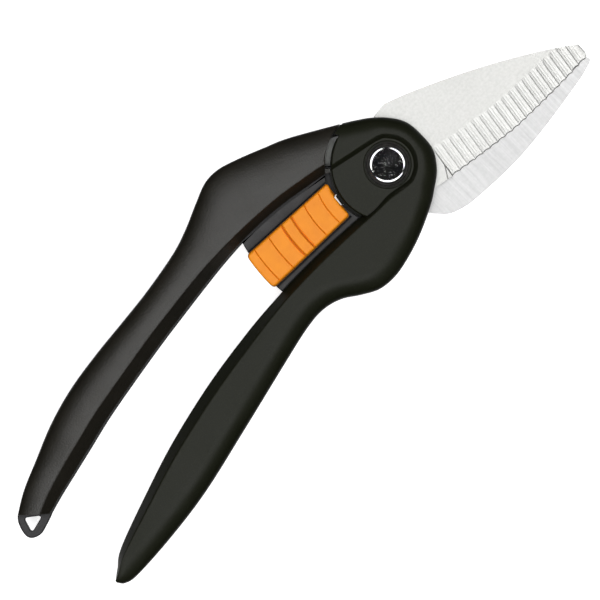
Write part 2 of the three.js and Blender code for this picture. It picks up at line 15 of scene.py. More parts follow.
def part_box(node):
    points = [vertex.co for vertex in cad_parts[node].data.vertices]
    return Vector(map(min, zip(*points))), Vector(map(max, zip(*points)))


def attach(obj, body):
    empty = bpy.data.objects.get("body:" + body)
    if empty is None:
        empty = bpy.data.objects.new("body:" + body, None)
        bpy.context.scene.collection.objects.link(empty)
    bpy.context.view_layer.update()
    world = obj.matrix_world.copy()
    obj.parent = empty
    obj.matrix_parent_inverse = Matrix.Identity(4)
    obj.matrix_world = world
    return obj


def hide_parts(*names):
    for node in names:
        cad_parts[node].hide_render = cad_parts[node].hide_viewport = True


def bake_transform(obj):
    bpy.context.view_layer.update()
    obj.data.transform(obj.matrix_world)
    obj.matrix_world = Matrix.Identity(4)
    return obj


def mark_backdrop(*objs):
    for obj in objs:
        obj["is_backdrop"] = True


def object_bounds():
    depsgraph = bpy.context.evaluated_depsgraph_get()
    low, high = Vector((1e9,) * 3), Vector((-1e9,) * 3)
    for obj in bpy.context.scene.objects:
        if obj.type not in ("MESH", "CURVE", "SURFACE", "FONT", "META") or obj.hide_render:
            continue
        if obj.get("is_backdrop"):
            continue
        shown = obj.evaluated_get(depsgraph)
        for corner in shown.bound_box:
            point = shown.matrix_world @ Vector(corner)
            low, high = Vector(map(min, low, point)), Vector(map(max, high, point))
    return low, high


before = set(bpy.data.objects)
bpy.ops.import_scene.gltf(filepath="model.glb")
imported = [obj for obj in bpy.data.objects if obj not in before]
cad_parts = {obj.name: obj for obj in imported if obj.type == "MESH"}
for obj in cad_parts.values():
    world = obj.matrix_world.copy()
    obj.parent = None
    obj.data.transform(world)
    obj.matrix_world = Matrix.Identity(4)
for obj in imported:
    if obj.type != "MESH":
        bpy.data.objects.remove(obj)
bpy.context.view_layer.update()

MM = 0.001
# Height of the blades' plane above the frame's origin: halfway between the pivot's two heads
MID_HEIGHT = (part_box("pivot_sleeve")[0].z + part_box("pivot_rivet")[1].z) / 2 / MM

HALF_THICKNESS = 8.5
SHELL_BASE = 2.35
SHELL_FOOT = 3.15  # top of the straight wall of a shell's outer edge
CORE_HALF = 2.0
TAB_HALF = 1.6
STRIP_HALF = 3.6
BLADE_THICKNESS = 2.0
BLADE_GAP = 0.05
RIM_BASE = 0.15
RECESS_FLOOR = 6.3
COUNTERBORE_FLOOR = 5.3

# Radii about the pivot
HEAD_SEAM = 16.05
HANDLE_SEAM = 17.9
STRIP_START = 16.6
STRIP_STEP = 18  # where the upper handle's strip drops, next to the pivot head
STRIP_END = 47.0
RECESS_RADIUS = 7.3
COUNTERBORE_RADIUS = 6.7
BORE_RADIUS = 4.1
SPRING_POCKET_RADIUS = 7.0
BLADE_HEAD_RADIUS = 12.4

CLEARANCE = 0.35
LEDGE = 0.45
OPENING_ANGLE = 27
BEYOND = 20  # a height outside every piece

# Handle stations from the tail to the pivot, in the plan: the outer edge's x and y, the inner
# edge's x and y, and the width of the bevel along the inner edge.
LOWER_GRIP = [
    (-138.8, -29.9, -138.6, -28.9, 0.2), (-137.3, -31.6, -135.8, -26.8, 1.2),
    (-132.8, -32.4, -131, -23.5, 2), (-118.3, -31.5, -116, -18, 2.6),
    (-102.3, -29.3, -99.5, -12.7, 3), (-82, -24.6, -80, -8.2, 3.2),
    (-63, -20, -61.5, -5.5, 3), (-50, -17, -49, -4.5, 2.5),
    (-42.5, -16.3, -41, -4.2, 2.4), (-36.5, -17.8, -33.5, -4.2, 2.3),
    (-31.5, -21, -27.5, -4.4, 2.2), (-26.5, -23.6, -22.5, -4.7, 2),
    (-20.5, -24.1, -17.5, -5, 1.9), (-13.5, -22.7, -12, -5.5, 1.7),
]
UPPER_GRIP = [
    (-145.3, 4, -138.2, -2.6, 3), (-139.1, 7.7, -132.8, -1.1, 3.6),
    (-130.9, 11.2, -126, 0.5, 3.9), (-120.5, 15.5, -117.5, 2.5, 4),
    (-109.6, 18.6, -107.5, 4.9, 4), (-97.6, 20.5, -95.5, 7.1, 3.9),
    (-84, 21.9, -82, 9.3, 3.9), (-73.6, 23.1, -71, 10.8, 3.8),
    (-61.4, 25.3, -60, 12.2, 3.6), (-53.9, 27.7, -52.5, 13, 3.2),
    (-46.5, 30.9, -45, 13.5, 2.8), (-40.5, 33.2, -38.5, 13.5, 2.6),
    (-35.2, 33.3, -33, 13.2, 2.6), (-29, 31.4, -27.5, 12.6, 2.7),
    (-21.2, 28.3, -21.5, 11.6, 2.7), (-14.1, 25.2, -17, 10.8, 2.7),
]
# The rim of the pivot head, from its lower side round the front to its upper side
HEAD_RIM = [
    (-6.5, -20.3), (0.7, -16.9), (4.5, -14.5), (9.1, -11), (12.4, -6.1), (13.05, -0.4),
    (12.6, 4.5), (10.3, 8.7), (6.1, 13), (-0.3, 17.3), (-6.4, 20.8),
]
HEAD_BEVEL = 1.3
# Ends of the two handles next to the pivot head: the outer and the inner edge's x and y
LOWER_END = (-4, -19.2, -9, -5.8)
UPPER_END = (0, 17.1, -9, 9.2)
HANGING_TAB = [
    (-142, 6), (-145.9, 3.7), (-147.6, 0.9), (-148.1, -2.1), (-147.1, -3.8), (-144.8, -4.6),
    (-142.4, -4.1), (-138.6, -2.8), (-135.5, -1),
]
TAB_HOLE = [(-145, 2.2), (-140.7, -1.1), (-146.4, -2.5)]

UPPER_SPINE = [(11.8, 13), (20.7, 9.5), (33.9, 3.3), (46.6, -3.5), (56.2, -9.4), (63.1, -14.1)]
UPPER_EDGE = [
    (61.7, -18.6), (52.2, -18.9), (39, -18.8), (32.4, -18.5), (21.3, -17.1), (11.2, -15.5),
]
LOWER_SPINE = [
    (-1.2, -17.9), (2.9, -22.3), (7.4, -24.1), (12.5, -24.8), (24.8, -25.3), (37.2, -24.5),
    (55.5, -21.8), (62.8, -19.9),
]
LOWER_EDGE = [(61.5, -18), (44, -15.5), (26, -11.8), (11.8, -6)]
TANG = [
    (1.6, 12.3), (-4.5, 16.2), (-12, 20.3), (-19, 23.2), (-25, 23.6), (-27.5, 21.5), (-27, 18.5),
    (-22, 15.8), (-13.2, 10.7), (-11.2, 5.3),
]
TANG_PINS = [(-13.5, 16.3), (-22.5, 19.6)]
TANG_MIRROR_ANGLE = 174.35
TANG_PIN_RADIUS = 1.5
SCALLOPS = 19
SCALLOP_DEPTH = 0.35
FLUTE_DIRECTION = np.array([0.136, 0.991])
FLUTE_LENGTHS = (8.7, 9.9)
PLUNGE_LINE = [(12.75, -6), (12.2, -10.8), (9.35, -15.35)]
PLUNGE_FACET = [(12.2, -10.8), (11.35, -15.2)]

SLOT_LINE = [(-10, 2.3), (-52, 4.95)]
SLOT_HALF = 1.75
SLIDER_ENDS = (17.8, 47.8)  # radii about the pivot, as the rib's and the grooves' are
SLIDER_SIDES = [((-10, 8.3), (-55, 10.6)), ((-10, -2.9), (-55, -1.9))]
SLIDER_LEVELS = (3.9, 8)
SLIDER_RIB = (31.5, 34.6)
SLIDER_RIB_HEIGHT = 0.7
SLIDER_GROOVES = (21.4, 26.5, 39.7, 45)
SLIDER_NOTCH = [(-15, 2.62), (-17.48, 2.78)]  # lets light through the slot's front end

SPRING_WIRE = 0.8
SPRING_RADIUS = 5.6
SPRING_REACHES = (20.3, 10.6)
SPRING_LEG_ANGLE = 137
SPRING_FIXED_ANGLE = 250
SPRING_LOW = SHELL_BASE + 0.5
SPRING_HIGH = SHELL_BASE + 1.65

SPAN_STEPS = 9  # fine stations between two given ones


# ---- plan geometry ----


def spline(points, steps):
    """steps + 1 points of the uniform curve through the given ones."""
    rows = np.array(points, float)
    last = len(rows) - 1
    samples = np.linspace(0, last, steps + 1)
    starts = np.minimum(samples.astype(int), last - 1)
    share = (samples - starts)[:, None]
    before, after = rows[np.maximum(starts - 1, 0)], rows[np.minimum(starts + 2, last)]
    start, end = rows[starts], rows[starts + 1]
    slope_start, slope_end = (end - before) / 2, (after - start) / 2
    return (
        (2 * start - 2 * end + slope_start + slope_end) * share**3
        + (3 * end - 3 * start - 2 * slope_start - slope_end) * share**2
        + slope_start * share
        + start
    )


def by_length(points, shares):
    """Points at given shares of a polyline's length."""
    rows = np.array(points, float)
    lengths = np.concatenate([[0], np.cumsum(np.linalg.norm(np.diff(rows, axis=0), axis=1))])
    at = np.asarray(shares) * lengths[-1]
    return np.column_stack([np.interp(at, lengths, rows[:, k]) for k in (0, 1)])


def curved(entry, corner, leave, steps):
    """Points of a curve that turns a corner."""
    shares = np.linspace(0, 1, steps + 1)[:, None]
    return (1 - shares) ** 2 * entry + 2 * shares * (1 - shares) * corner + shares**2 * leave


def polar(radius, degrees):
    angle = np.radians(degrees)
    return np.array([radius * np.cos(angle), radius * np.sin(angle)])


def unit(vectors):
    return vectors / np.linalg.norm(vectors, axis=-1, keepdims=True)


def leftward(start, end):
    """The direction to the left of the way from start to end."""
    x, y = unit(np.subtract(end, start))
    return np.array([-y, x])


def mirrored(points):
    """Points of the plan mirrored about the line through the pivot that swaps the two tangs."""
    x, y = polar(1, 2 * TANG_MIRROR_ANGLE)
    return np.array(points) @ [[x, y], [y, -x]]


def counter_clockwise(outline):
    rows = np.array(outline, float)
    following = np.roll(rows, -1, axis=0)
    area = np.sum(rows[:, 0] * following[:, 1] - following[:, 0] * rows[:, 1])
    return rows if area > 0 else rows[::-1]


def grown(outline, distance):
    """A counter-clockwise outline moved outwards."""
    rows = np.array(outline, float)
    along = unit(np.roll(rows, -1, axis=0) - np.roll(rows, 1, axis=0))
    return rows + distance * np.column_stack([along[:, 1], -along[:, 0]])


# ---- solids ----


def placed(name, data):
    """A new object in the scene."""
    made = bpy.data.objects.new(name, data)
    bpy.context.scene.collection.objects.link(made)
    return made


def solid(vertices, faces):
    """A closed mesh object with its faces turned outwards."""
    mesh = bpy.data.meshes.new("solid")
    mesh.from_pydata([tuple(v) for v in vertices], [], faces)
    shape = bmesh.new()
    shape.from_mesh(mesh)
    bmesh.ops.remove_doubles(shape, verts=shape.verts, dist=1e-4)
    bmesh.ops.recalc_face_normals(shape, faces=shape.faces)
    shape.to_mesh(mesh)
    shape.free()
    return placed("solid", mesh)


def walls(rows, count, closed=False):
    """Faces between rows of count points each, and from the last row to the first if closed."""
    faces = []
    for i in range(rows if closed else rows - 1):
        near, far = i * count, (i + 1) % rows * count
        for j in range(count):
            k = (j + 1) % count
            faces.append((near + j, near + k, far + k, far + j))
    return faces


def loft(sections):
    """A solid through closed sections that have the same number of points."""
    sections = np.asarray(sections, float)
    rows, count = sections.shape[:2]
    caps = [tuple(range(count)), tuple(range((rows - 1) * count, rows * count))]
    return solid(sections.reshape(-1, 3), caps + walls(rows, count))


def at_height(outline, height):
    rows = np.array(outline, float)
    return np.column_stack([rows, np.full(len(rows), height)])


def plate(outline, low, high, rim=0.0):
    """An outline raised from low to high, with both rims rounded by the given radius."""
    rows = counter_clockwise(outline)
    if rim == 0:
        return loft([at_height(rows, low), at_height(rows, high)])
    turns = np.radians([90, 60, 30, 0])
    insets = rim * (1 - np.cos(turns))
    rises = rim * (1 - np.sin(turns))
    sections = [at_height(grown(rows, -i), low + r) for i, r in zip(insets, rises)]
    sections += [at_height(grown(rows, -i), high - r) for i, r in zip(insets[::-1], rises[::-1])]
    return loft(sections)


def disc(radius, low, high, centre=(0, 0), sides=96):
    return plate([polar(radius, 360 * i / sides) + centre for i in range(sides)], low, high)


def swept_ring(profile, start, end, steps, side=1):
    """A profile of radius and height swept about the pivot between two angles in degrees.
    side is -1 to turn it over for the rear."""
    sections = []
    for angle in np.linspace(start, end, steps + 1):
        sections.append([(*polar(radius, angle), side * height) for radius, height in profile])
    return loft(sections)


def ring_sector(inner, outer, start, end, low, high, steps=None):
    profile = [(inner, low), (outer, low), (outer, high), (inner, high)]
    return swept_ring(profile, start, end, steps or max(4, int(abs(end - start) / 2)))


def turned(profile, sides=144, side=1):
    """A solid of revolution. The profile's ends are on the axis, or it closes on itself.
    side is -1 to turn it over for the rear."""
    rows = [(radius, side * height) for radius, height in profile]
    on_axis = rows[0][0] == 0
    body = rows[1:-1] if on_axis else rows
    angles = [360 * i / sides for i in range(sides)]
    vertices = [(*polar(radius, angle), height) for radius, height in body for angle in angles]
    faces = walls(len(body), sides, closed=not on_axis)
    if on_axis:
        for height, first in ((rows[0][1], 0), (rows[-1][1], (len(body) - 1) * sides)):
            vertices.append((0, 0, height))
            pole = len(vertices) - 1
            faces += [(pole, first + j, first + (j + 1) % sides) for j in range(sides)]
    return solid(vertices, faces)


def bar(start, end, half_width, low, high):
    aside = half_width * leftward(start, end)
    return plate([start - aside, end - aside, end + aside, start + aside], low, high)


def applied(body):
    """The object with its modifiers made part of its mesh."""
    graph = bpy.context.evaluated_depsgraph_get()
    mesh = bpy.data.meshes.new_from_object(body.evaluated_get(graph))
    body.modifiers.clear()
    body.data = mesh
    return body


def boolean(body, tool, operation):
    modifier = body.modifiers.new("boolean", "BOOLEAN")
    modifier.object = tool
    modifier.operation = operation
    modifier.solver = "MANIFOLD"
    applied(body)
    bpy.data.objects.remove(tool)
    return body


def cut(body, *tools):
    for tool in tools:
        boolean(body, tool, "DIFFERENCE")
    return body


def join(body, *tools):
    for tool in tools:
        boolean(body, tool, "UNION")
    return body


def common(body, tool):
    return boolean(body, tool, "INTERSECT")


# ---- finished pieces ----

SHARP_ANGLE = math.radians(32)
WELD = 2e-7


def finished(name, body, material, slot, rides, replaced):
    """Turns a solid in millimetres into a piece of the frame."""
    body.name = name
    mesh = body.data
    mesh.name = name
    mesh.transform(Matrix.Scale(MM, 4) @ Matrix.Translation((0, 0, MID_HEIGHT)))
    shape = bmesh.new()
    shape.from_mesh(mesh)
    bmesh.ops.remove_doubles(shape, verts=shape.verts, dist=WELD)
    bmesh.ops.dissolve_degenerate(shape, edges=shape.edges, dist=WELD)
    shape.to_mesh(mesh)
    shape.free()
    mesh.shade_smooth()
    mesh.set_sharp_from_angle(angle=SHARP_ANGLE)
    weighted = body.modifiers.new("flat faces keep their shading", "WEIGHTED_NORMAL")
    weighted.keep_sharp = True
    weighted.weight = 80
    applied(body)
    body.data.materials.clear()
    body.data.materials.append(material)
    if rides:
        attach(body, rides)
    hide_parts(replaced)
    return body


# ---- handle shells ----

HEAD_ROLL = 5.5
HEAD_REACH = 24  # a radius outside the pivot head
UPPER_CROWN = 0.22
FACE_STEPS = 5
ROLL_STEPS = 12
ROLL_POWER = 2.05
LIP = [(0, 0.45), (0.06, 0.25), (0.2, 0.09), (0.45, 0)]  # inset and depth of a rounded lip

# The front seam round the pivot head starts at an angle. Before it the rim ends at a radius.
SEAM_START = 104.5
RIM_END_RADIUS = 17.45
# Floors under the gap round the pivot head: the radius they reach and their two angles
FRONT_COVERS = [(16.35, 106, 167), (17.15, 165.6, 176.5), (16.7, 176, 200)]
REAR_COVERS = [(16.7, 139, 167)]
COVER_TOP = 1
# A lip of the upper handle into that gap, beside the spring's leg
GAP_LIP = dict(inner=16.8, outer=18.4, start=138.9, end=142.6, high=3.1)


def grip_stations(rows, tail_face, roll, ledge):
    faces = [tail_face, tail_face + 0.8, tail_face + 1.3]
    stations = []
    for i, (ox, oy, ix, iy, bevel) in enumerate(rows):
        face = faces[i] if i < len(faces) else HALF_THICKNESS
        stations.append((ox, oy, ix, iy, ledge, bevel, SHELL_FOOT, face, roll))
    return stations


def head_stations(lower_side, upper_side):
    """Stations round the pivot head, whose recess opens to the left between two straight sides."""
    inners = [polar(RECESS_RADIUS, np.degrees(np.arctan2(y, x))) for x, y in HEAD_RIM]
    inners[:2] = lower_side
    inners[-2:] = upper_side[::-1]
    return [
        (*rim, *inner, 0, HEAD_BEVEL, RECESS_FLOOR - 0.2, HALF_THICKNESS, HEAD_ROLL)
        for rim, inner in zip(HEAD_RIM, inners)
    ]


def handle_end(stations, edges):
    return [*stations, (*edges, *stations[-1][4:])]


LOWER_STATIONS = grip_stations(LOWER_GRIP, tail_face=6.4, roll=6.2, ledge=0)
UPPER_STATIONS = grip_stations(UPPER_GRIP, tail_face=6, roll=15, ledge=LEDGE)
FRONT_HEAD = head_stations([(-6.4, -6.1), (0.2, -7.1)], [(-14.2, 10.4), (-5.5, 8.5)])
REAR_HEAD = head_stations([(-14.2, -10.4), (-5.5, -8.5)], [(-10, 9.3), (-3.5, 8)])[::-1]


def sampled(stations, steps=SPAN_STEPS):
    rows = spline(stations, (len(stations) - 1) * steps)
    rows[:, 7] = np.minimum(rows[:, 7], HALF_THICKNESS)
    return rows


def filleted(before, corner, after, radius, steps):
    """Points of a rounded corner between two straight lines."""
    ways = np.subtract([before, after], corner)
    shares = np.minimum(radius / np.linalg.norm(ways, axis=1), 0.45)
    entry, leave = corner + shares[:, None] * ways
    return curved(entry, corner, leave, steps)


def shell_section(station, crown):
    """Up the bevel, over the crowned face and down the rolled outer edge, as distance and height."""
    width = np.hypot(station[0] - station[2], station[1] - station[3])
    ledge, bevel, foot, face, roll = station[4:]
    radius = min(roll, 0.86 * (width - bevel))
    flat_end = width - radius
    shares = np.linspace(0, 1, FACE_STEPS + 1)[1:]
    face_line = np.column_stack([
        bevel + (flat_end - bevel) * shares,
        face - crown * (1 - shares) ** 2,
    ])
    bevel_top = (bevel, face - crown)
    turns = np.linspace(0, np.pi / 2, ROLL_STEPS + 1)[1:]
    rolled = np.column_stack([
        flat_end + radius * np.sin(turns) ** (2 / ROLL_POWER),
        SHELL_FOOT + (face - SHELL_FOOT) * np.cos(turns).clip(0) ** (2 / ROLL_POWER),
    ])
    return np.vstack([
        [(ledge, SHELL_BASE)],
        filleted((ledge, SHELL_BASE), (ledge, foot), bevel_top, 0.4, 3),
        filleted((ledge, foot), bevel_top, face_line[0], 0.55, 4),
        face_line,
        rolled,
        [(width, SHELL_BASE)],
    ])


def shell(stations, side, crown):
    sections = []
    for station in sampled(stations):
        outer, inner = station[:2], station[2:4]
        across = unit(outer - inner)
        profile = shell_section(station, crown)
        plan = inner + profile[:, :1] * across
        sections.append(np.column_stack([plan, side * profile[:, 1]]))
    return loft(sections)


def sided(side, low, high):
    return (low, high) if side > 0 else (-high, -low)


def seam_lip(radius, way):
    """The upper part of the cut along a seam, which leaves a rounded lip where it meets the face."""
    lip = [(radius + way * inset, HALF_THICKNESS - depth) for inset, depth in LIP]
    return [*lip, (lip[-1][0], BEYOND)]


def recess_floor(side, corners):
    heights = sided(side, SHELL_BASE, RECESS_FLOOR)
    lip = [(HEAD_SEAM - inset, RECESS_FLOOR - depth) for inset, depth in LIP]
    rounded = turned([(0, SHELL_BASE), (HEAD_SEAM, SHELL_BASE), *lip, (0, RECESS_FLOOR)], side=side)
    wedge = common(plate(corners, *heights), rounded)
    return join(disc(RECESS_RADIUS + 1, *heights), wedge)


def head_skirt(side, blade, covers):
    """Closes the layer of the other blade left of the pivot, with covers under the gap."""
    heights = sided(side, RIM_BASE, SHELL_BASE + 0.2)
    rim = spline(HEAD_RIM, 60)
    outline = plate([(-25, 25), (-25, -25), *rim], *heights)
    common(outline, disc(HEAD_SEAM, *heights, sides=180))
    edge, far = 4.9, 40
    mouth = plate([(edge, -far), (far, -far), (far, far), (edge, far)], *sided(side, -5, 5))
    pocket = plate(grown(counter_clockwise(blade), CLEARANCE), *sided(side, -5, 5))
    cut(outline, mouth, pocket)
    heights = sided(side, RIM_BASE, COVER_TOP)
    return join(outline, *[ring_sector(HEAD_SEAM - 1, *sector, *heights) for sector in covers])


def pivot_bores(body, side):
    floor, radius = COUNTERBORE_FLOOR, COUNTERBORE_RADIUS
    flare = [(radius, 5.95), (radius + 0.06, 6.14), (radius + 0.2, 6.26), (radius + 0.34, 6.32)]
    counterbore = turned([(0, floor), (radius, floor), *flare, (flare[-1][0], BEYOND), (0, BEYOND)],
                         side=side)
    return cut(body, disc(BORE_RADIUS, -BEYOND, BEYOND), counterbore)


def spring_pocket():
    low, high, leg_high = SHELL_BASE - 0.1, 4.6, 3.6
    inner, held_end = 5, 11.2
    moving = (SPRING_LEG_ANGLE - OPENING_ANGLE - 5, SPRING_LEG_ANGLE + 15)
    held = SPRING_FIXED_ANGLE
    return join(
        disc(SPRING_POCKET_RADIUS, low, high),
        bar(polar(inner, held), polar(held_end, held), 1.4, low, high),
        ring_sector(inner, HEAD_SEAM + 1, *moving, low, leg_high),
    )


def head_seam_cut(side, start, end):
    profile = [(HEAD_SEAM, -BEYOND), *seam_lip(HEAD_SEAM, -1), (HEAD_REACH, BEYOND),
               (HEAD_REACH, -BEYOND)]
    return swept_ring(profile, start, end, 60, side)


def handle_seam_cut(side):
    profile = [(0, -BEYOND), (HANDLE_SEAM, -BEYOND), *seam_lip(HANDLE_SEAM, 1), (0, BEYOND)]
    return turned(profile, 240, side)


def lower_front_shell(blade):
    body = shell([*LOWER_STATIONS, *FRONT_HEAD], 1, 0)
    rim_end = ring_sector(RIM_END_RADIUS, HEAD_REACH, 80, SEAM_START + 0.5, -BEYOND, BEYOND, 20)
    cut(body, head_seam_cut(1, SEAM_START, 190), rim_end)
    floor = [(0, -8), (0, 8.1), (-16.5, 11.8), (-22, 0), (-16.5, -6)]
    join(body, recess_floor(1, floor), head_skirt(1, blade, FRONT_COVERS))
    return cut(pivot_bores(body, 1), spring_pocket())


def upper_rear_shell(blade):
    body = shell([*UPPER_STATIONS, *REAR_HEAD], -1, UPPER_CROWN)
    cut(body, head_seam_cut(-1, 165, 280))
    floor = [(0, -8.1), (0, 8), (-16, 11), (-22, 0), (-16.5, -11.8)]
    join(body, recess_floor(-1, floor), head_skirt(-1, blade, REAR_COVERS))
    return pivot_bores(body, -1)


def lower_rear_shell():
    body = shell(handle_end(LOWER_STATIONS, LOWER_END), -1, 0)
    return cut(body, handle_seam_cut(-1))


def upper_front_shell():
    body = shell(handle_end(UPPER_STATIONS, UPPER_END), 1, UPPER_CROWN)
    leg = bar(polar(16, SPRING_LEG_ANGLE), polar(21, SPRING_LEG_ANGLE), 0.8, 1, 3.6)
    return join(cut(body, handle_seam_cut(1), leg), ring_sector(low=SHELL_BASE, **GAP_LIP))


# ---- cores ----


def rail(stations, edge, shift):
    """The outer or inner rail of a handle, moved across the handle towards the outer edge."""
    rows = sampled(stations)
    outer, inner = rows[:, :2], rows[:, 2:4]
    return (outer if edge == "outer" else inner) + shift * unit(outer - inner)


def core_body(stations):
    outline = [*rail(stations, "outer", -0.3), *rail(stations, "inner", 0)[::-1]]
    return plate(outline, -CORE_HALF, CORE_HALF, 0.25)


def strip(stations, upward):
    """The strip that the slider runs on, from the handle's inner edge to the slot."""
    edge = [(x, y + upward * SLOT_HALF) for x, y in SLOT_LINE]
    layers = []
    for shift, half in ((-0.35, STRIP_HALF), (0.6, CORE_HALF)):
        inner = [point for point in rail(stations, "inner", shift) if point[0] > -56]
        layers.append(plate([*inner, *edge], -half, half))
    step = STRIP_STEP if upward > 0 else STRIP_START + 0.3
    toe, edge_break = 0.6, 0.25
    rim = [(STRIP_START + 0.1, toe), (step, toe), (step + 0.1, STRIP_HALF - 0.2),
           (step + 0.3, STRIP_HALF), (STRIP_END - edge_break, STRIP_HALF),
           (STRIP_END, STRIP_HALF - edge_break)]
    profile = [*rim, *[(radius, -height) for radius, height in rim[::-1]],
               (STRIP_START, -0.5), (STRIP_START, 0.5)]
    # A groove along the slider's side, on both faces
    shift, half, depth = 0.28, 0.3, 1.9
    side_line = SLIDER_SIDES[0 if upward > 0 else 1]
    line = [on_side(side_line, radius) + (0, upward * shift) for radius in SLIDER_ENDS]
    heights = [sided(side, STRIP_HALF - depth, STRIP_HALF + 1) for side in (1, -1)]
    grooves = [bar(*line, half, *pair) for pair in heights]
    return cut(common(join(*layers), turned(profile, 240)), *grooves)


def tongue_groove(upward):
    """The groove in a strip's slot side that the slider's tongue runs in."""
    reach, half_height = 2.7, 1.3
    start, end = map(np.array, SLOT_LINE)
    shift = np.array([0, upward * (SLOT_HALF + reach / 2 - 0.5)])
    begin = start + 0.42 * (end - start) + shift
    finish = end + 0.1 * (end - start) + shift
    return bar(begin, finish, reach / 2 + 0.5, -half_height, half_height)


def pin_holes(pins):
    return [disc(TANG_PIN_RADIUS + 0.3, -9, 9, pin, 32) for pin in pins]


def tang_pocket(outline, low):
    outline = grown(counter_clockwise(outline), CLEARANCE)
    return plate(outline, low - CLEARANCE, low + BLADE_THICKNESS + CLEARANCE)


def lower_core(tang):
    stations = handle_end(LOWER_STATIONS, LOWER_END)
    body = core_body(stations)
    cut(body, disc(HANDLE_SEAM, -BEYOND, BEYOND, sides=240))
    join(body, strip(stations, -1))
    return cut(
        body,
        ring_sector(10, 25.7, 234, 275, -9, 0.3),
        bar((-41.2, 0.1), (-26.8, 0.1), 1.4, 2.5, 9),
        tongue_groove(-1),
        tang_pocket(tang, BLADE_GAP),
        *pin_holes(mirrored(TANG_PINS)),
    )


def tab_hole():
    """The rounded triangle in the hanging tab, wider at both faces."""
    outline = []
    corners = np.array(TAB_HOLE)
    for i, corner in enumerate(corners):
        after, before = corners[(i + 1) % 3], corners[(i + 2) % 3]
        entry, leave = (corner + 0.25 * (other - corner) for other in (before, after))
        outline += list(curved(entry, corner, leave, 8))
    outline = counter_clockwise(outline)
    flare = 0.35
    levels = [(TAB_HALF + 1, flare), (TAB_HALF, flare), (TAB_HALF - 0.1, 0.14),
              (TAB_HALF - flare, 0)]
    levels += [(-height, inset) for height, inset in levels[::-1]]
    return loft([at_height(grown(outline, inset), height) for height, inset in levels])


def upper_core(tang):
    stations = handle_end(UPPER_STATIONS, UPPER_END)
    body = core_body(stations)
    join(body, plate(spline(HANGING_TAB, 64), -TAB_HALF, TAB_HALF, 0.5))
    cut(body, tab_hole(), disc(HANDLE_SEAM, -BEYOND, BEYOND, sides=240))
    join(body, strip(stations, 1))
    return cut(
        body,
        tongue_groove(1),
        tang_pocket(tang, -BLADE_GAP - BLADE_THICKNESS),
        *pin_holes(TANG_PINS),
    )


# ---- blades ----

BLADE_TOP = BLADE_GAP + BLADE_THICKNESS
EDGE_HEIGHT = BLADE_GAP + 1.1
FLUTE_STEPS = 22
FLUTE_DEPTH = 0.125
FLUTE_LINES = [(0.4, 0.06), (0.7, 0.05)]  # fainter lines in each flute: place and depth
GRIND_ROWS = [0, 0.012, 0.03, 0.055, 0.09, 0.15, 0.3, 0.45, 0.6, 0.75, 0.84, 0.88, 0.92, 0.96, 1]
DROP_FADE = 1.5  # length over which a flute runs out into the flat
EDGE_LAND = 0.06  # thickness right at the cutting edge
EDGE_SLOPE = 4
# The groove across the plain blade's tang under the seam, which shows as a dark line
TANG_GROOVE = dict(inner=17.5, outer=18.1, start=100, end=145, low=-1.3, high=1)


def blade_head(start, end):
    return [polar(BLADE_HEAD_RADIUS, angle) for angle in np.linspace(start, end, 25)]


def upper_blade_back():
    """The near blade's plan from its spine round the head and the tang to its cutting edge."""
    return [(7.2, 12.6), *blade_head(62, 200), *mirrored(TANG)[::-1], (5.4, -14.3), (9.1, -15)]


def lower_blade_back():
    return [*blade_head(230, 165), *TANG[::-1], *blade_head(60, -20)[1:]]


def upper_blade_outline():
    front = [*spline(UPPER_SPINE, 56), (62.9, -18.1), *spline(UPPER_EDGE, 60)]
    return [*front, *upper_blade_back()[::-1]]


def lower_blade_outline():
    return [*spline(LOWER_SPINE, 80), *spline(LOWER_EDGE, 40), *lower_blade_back()[::-1]]


def head_spine(spine, columns):
    """The stretch of the spine between the last ground column and the head."""
    return [point for point in spine[::-1] if point[0] < columns[-1][1][0] - 0.1]


def flute_profile(share):
    """How far the flutes' surface lies below their crests. A wall falls away from each crest
    towards the tip, and the floor rises again to the next crest. share runs from the tip."""
    away = 1 - share
    depth = FLUTE_DEPTH * (1 - math.exp(-away / 0.1)) * (1 - away)
    return depth + sum(deep * max(0, 1 - abs(away - at) / 0.09) for at, deep in FLUTE_LINES)


def hit(start, direction, line):
    """How far along a direction a polyline is met. The polyline runs across the direction."""
    offsets = line - start
    aside, ahead = offsets @ (-direction[1], direction[0]), offsets @ direction
    order = np.argsort(aside)
    return np.interp(0, aside[order], ahead[order]) / (direction @ direction)


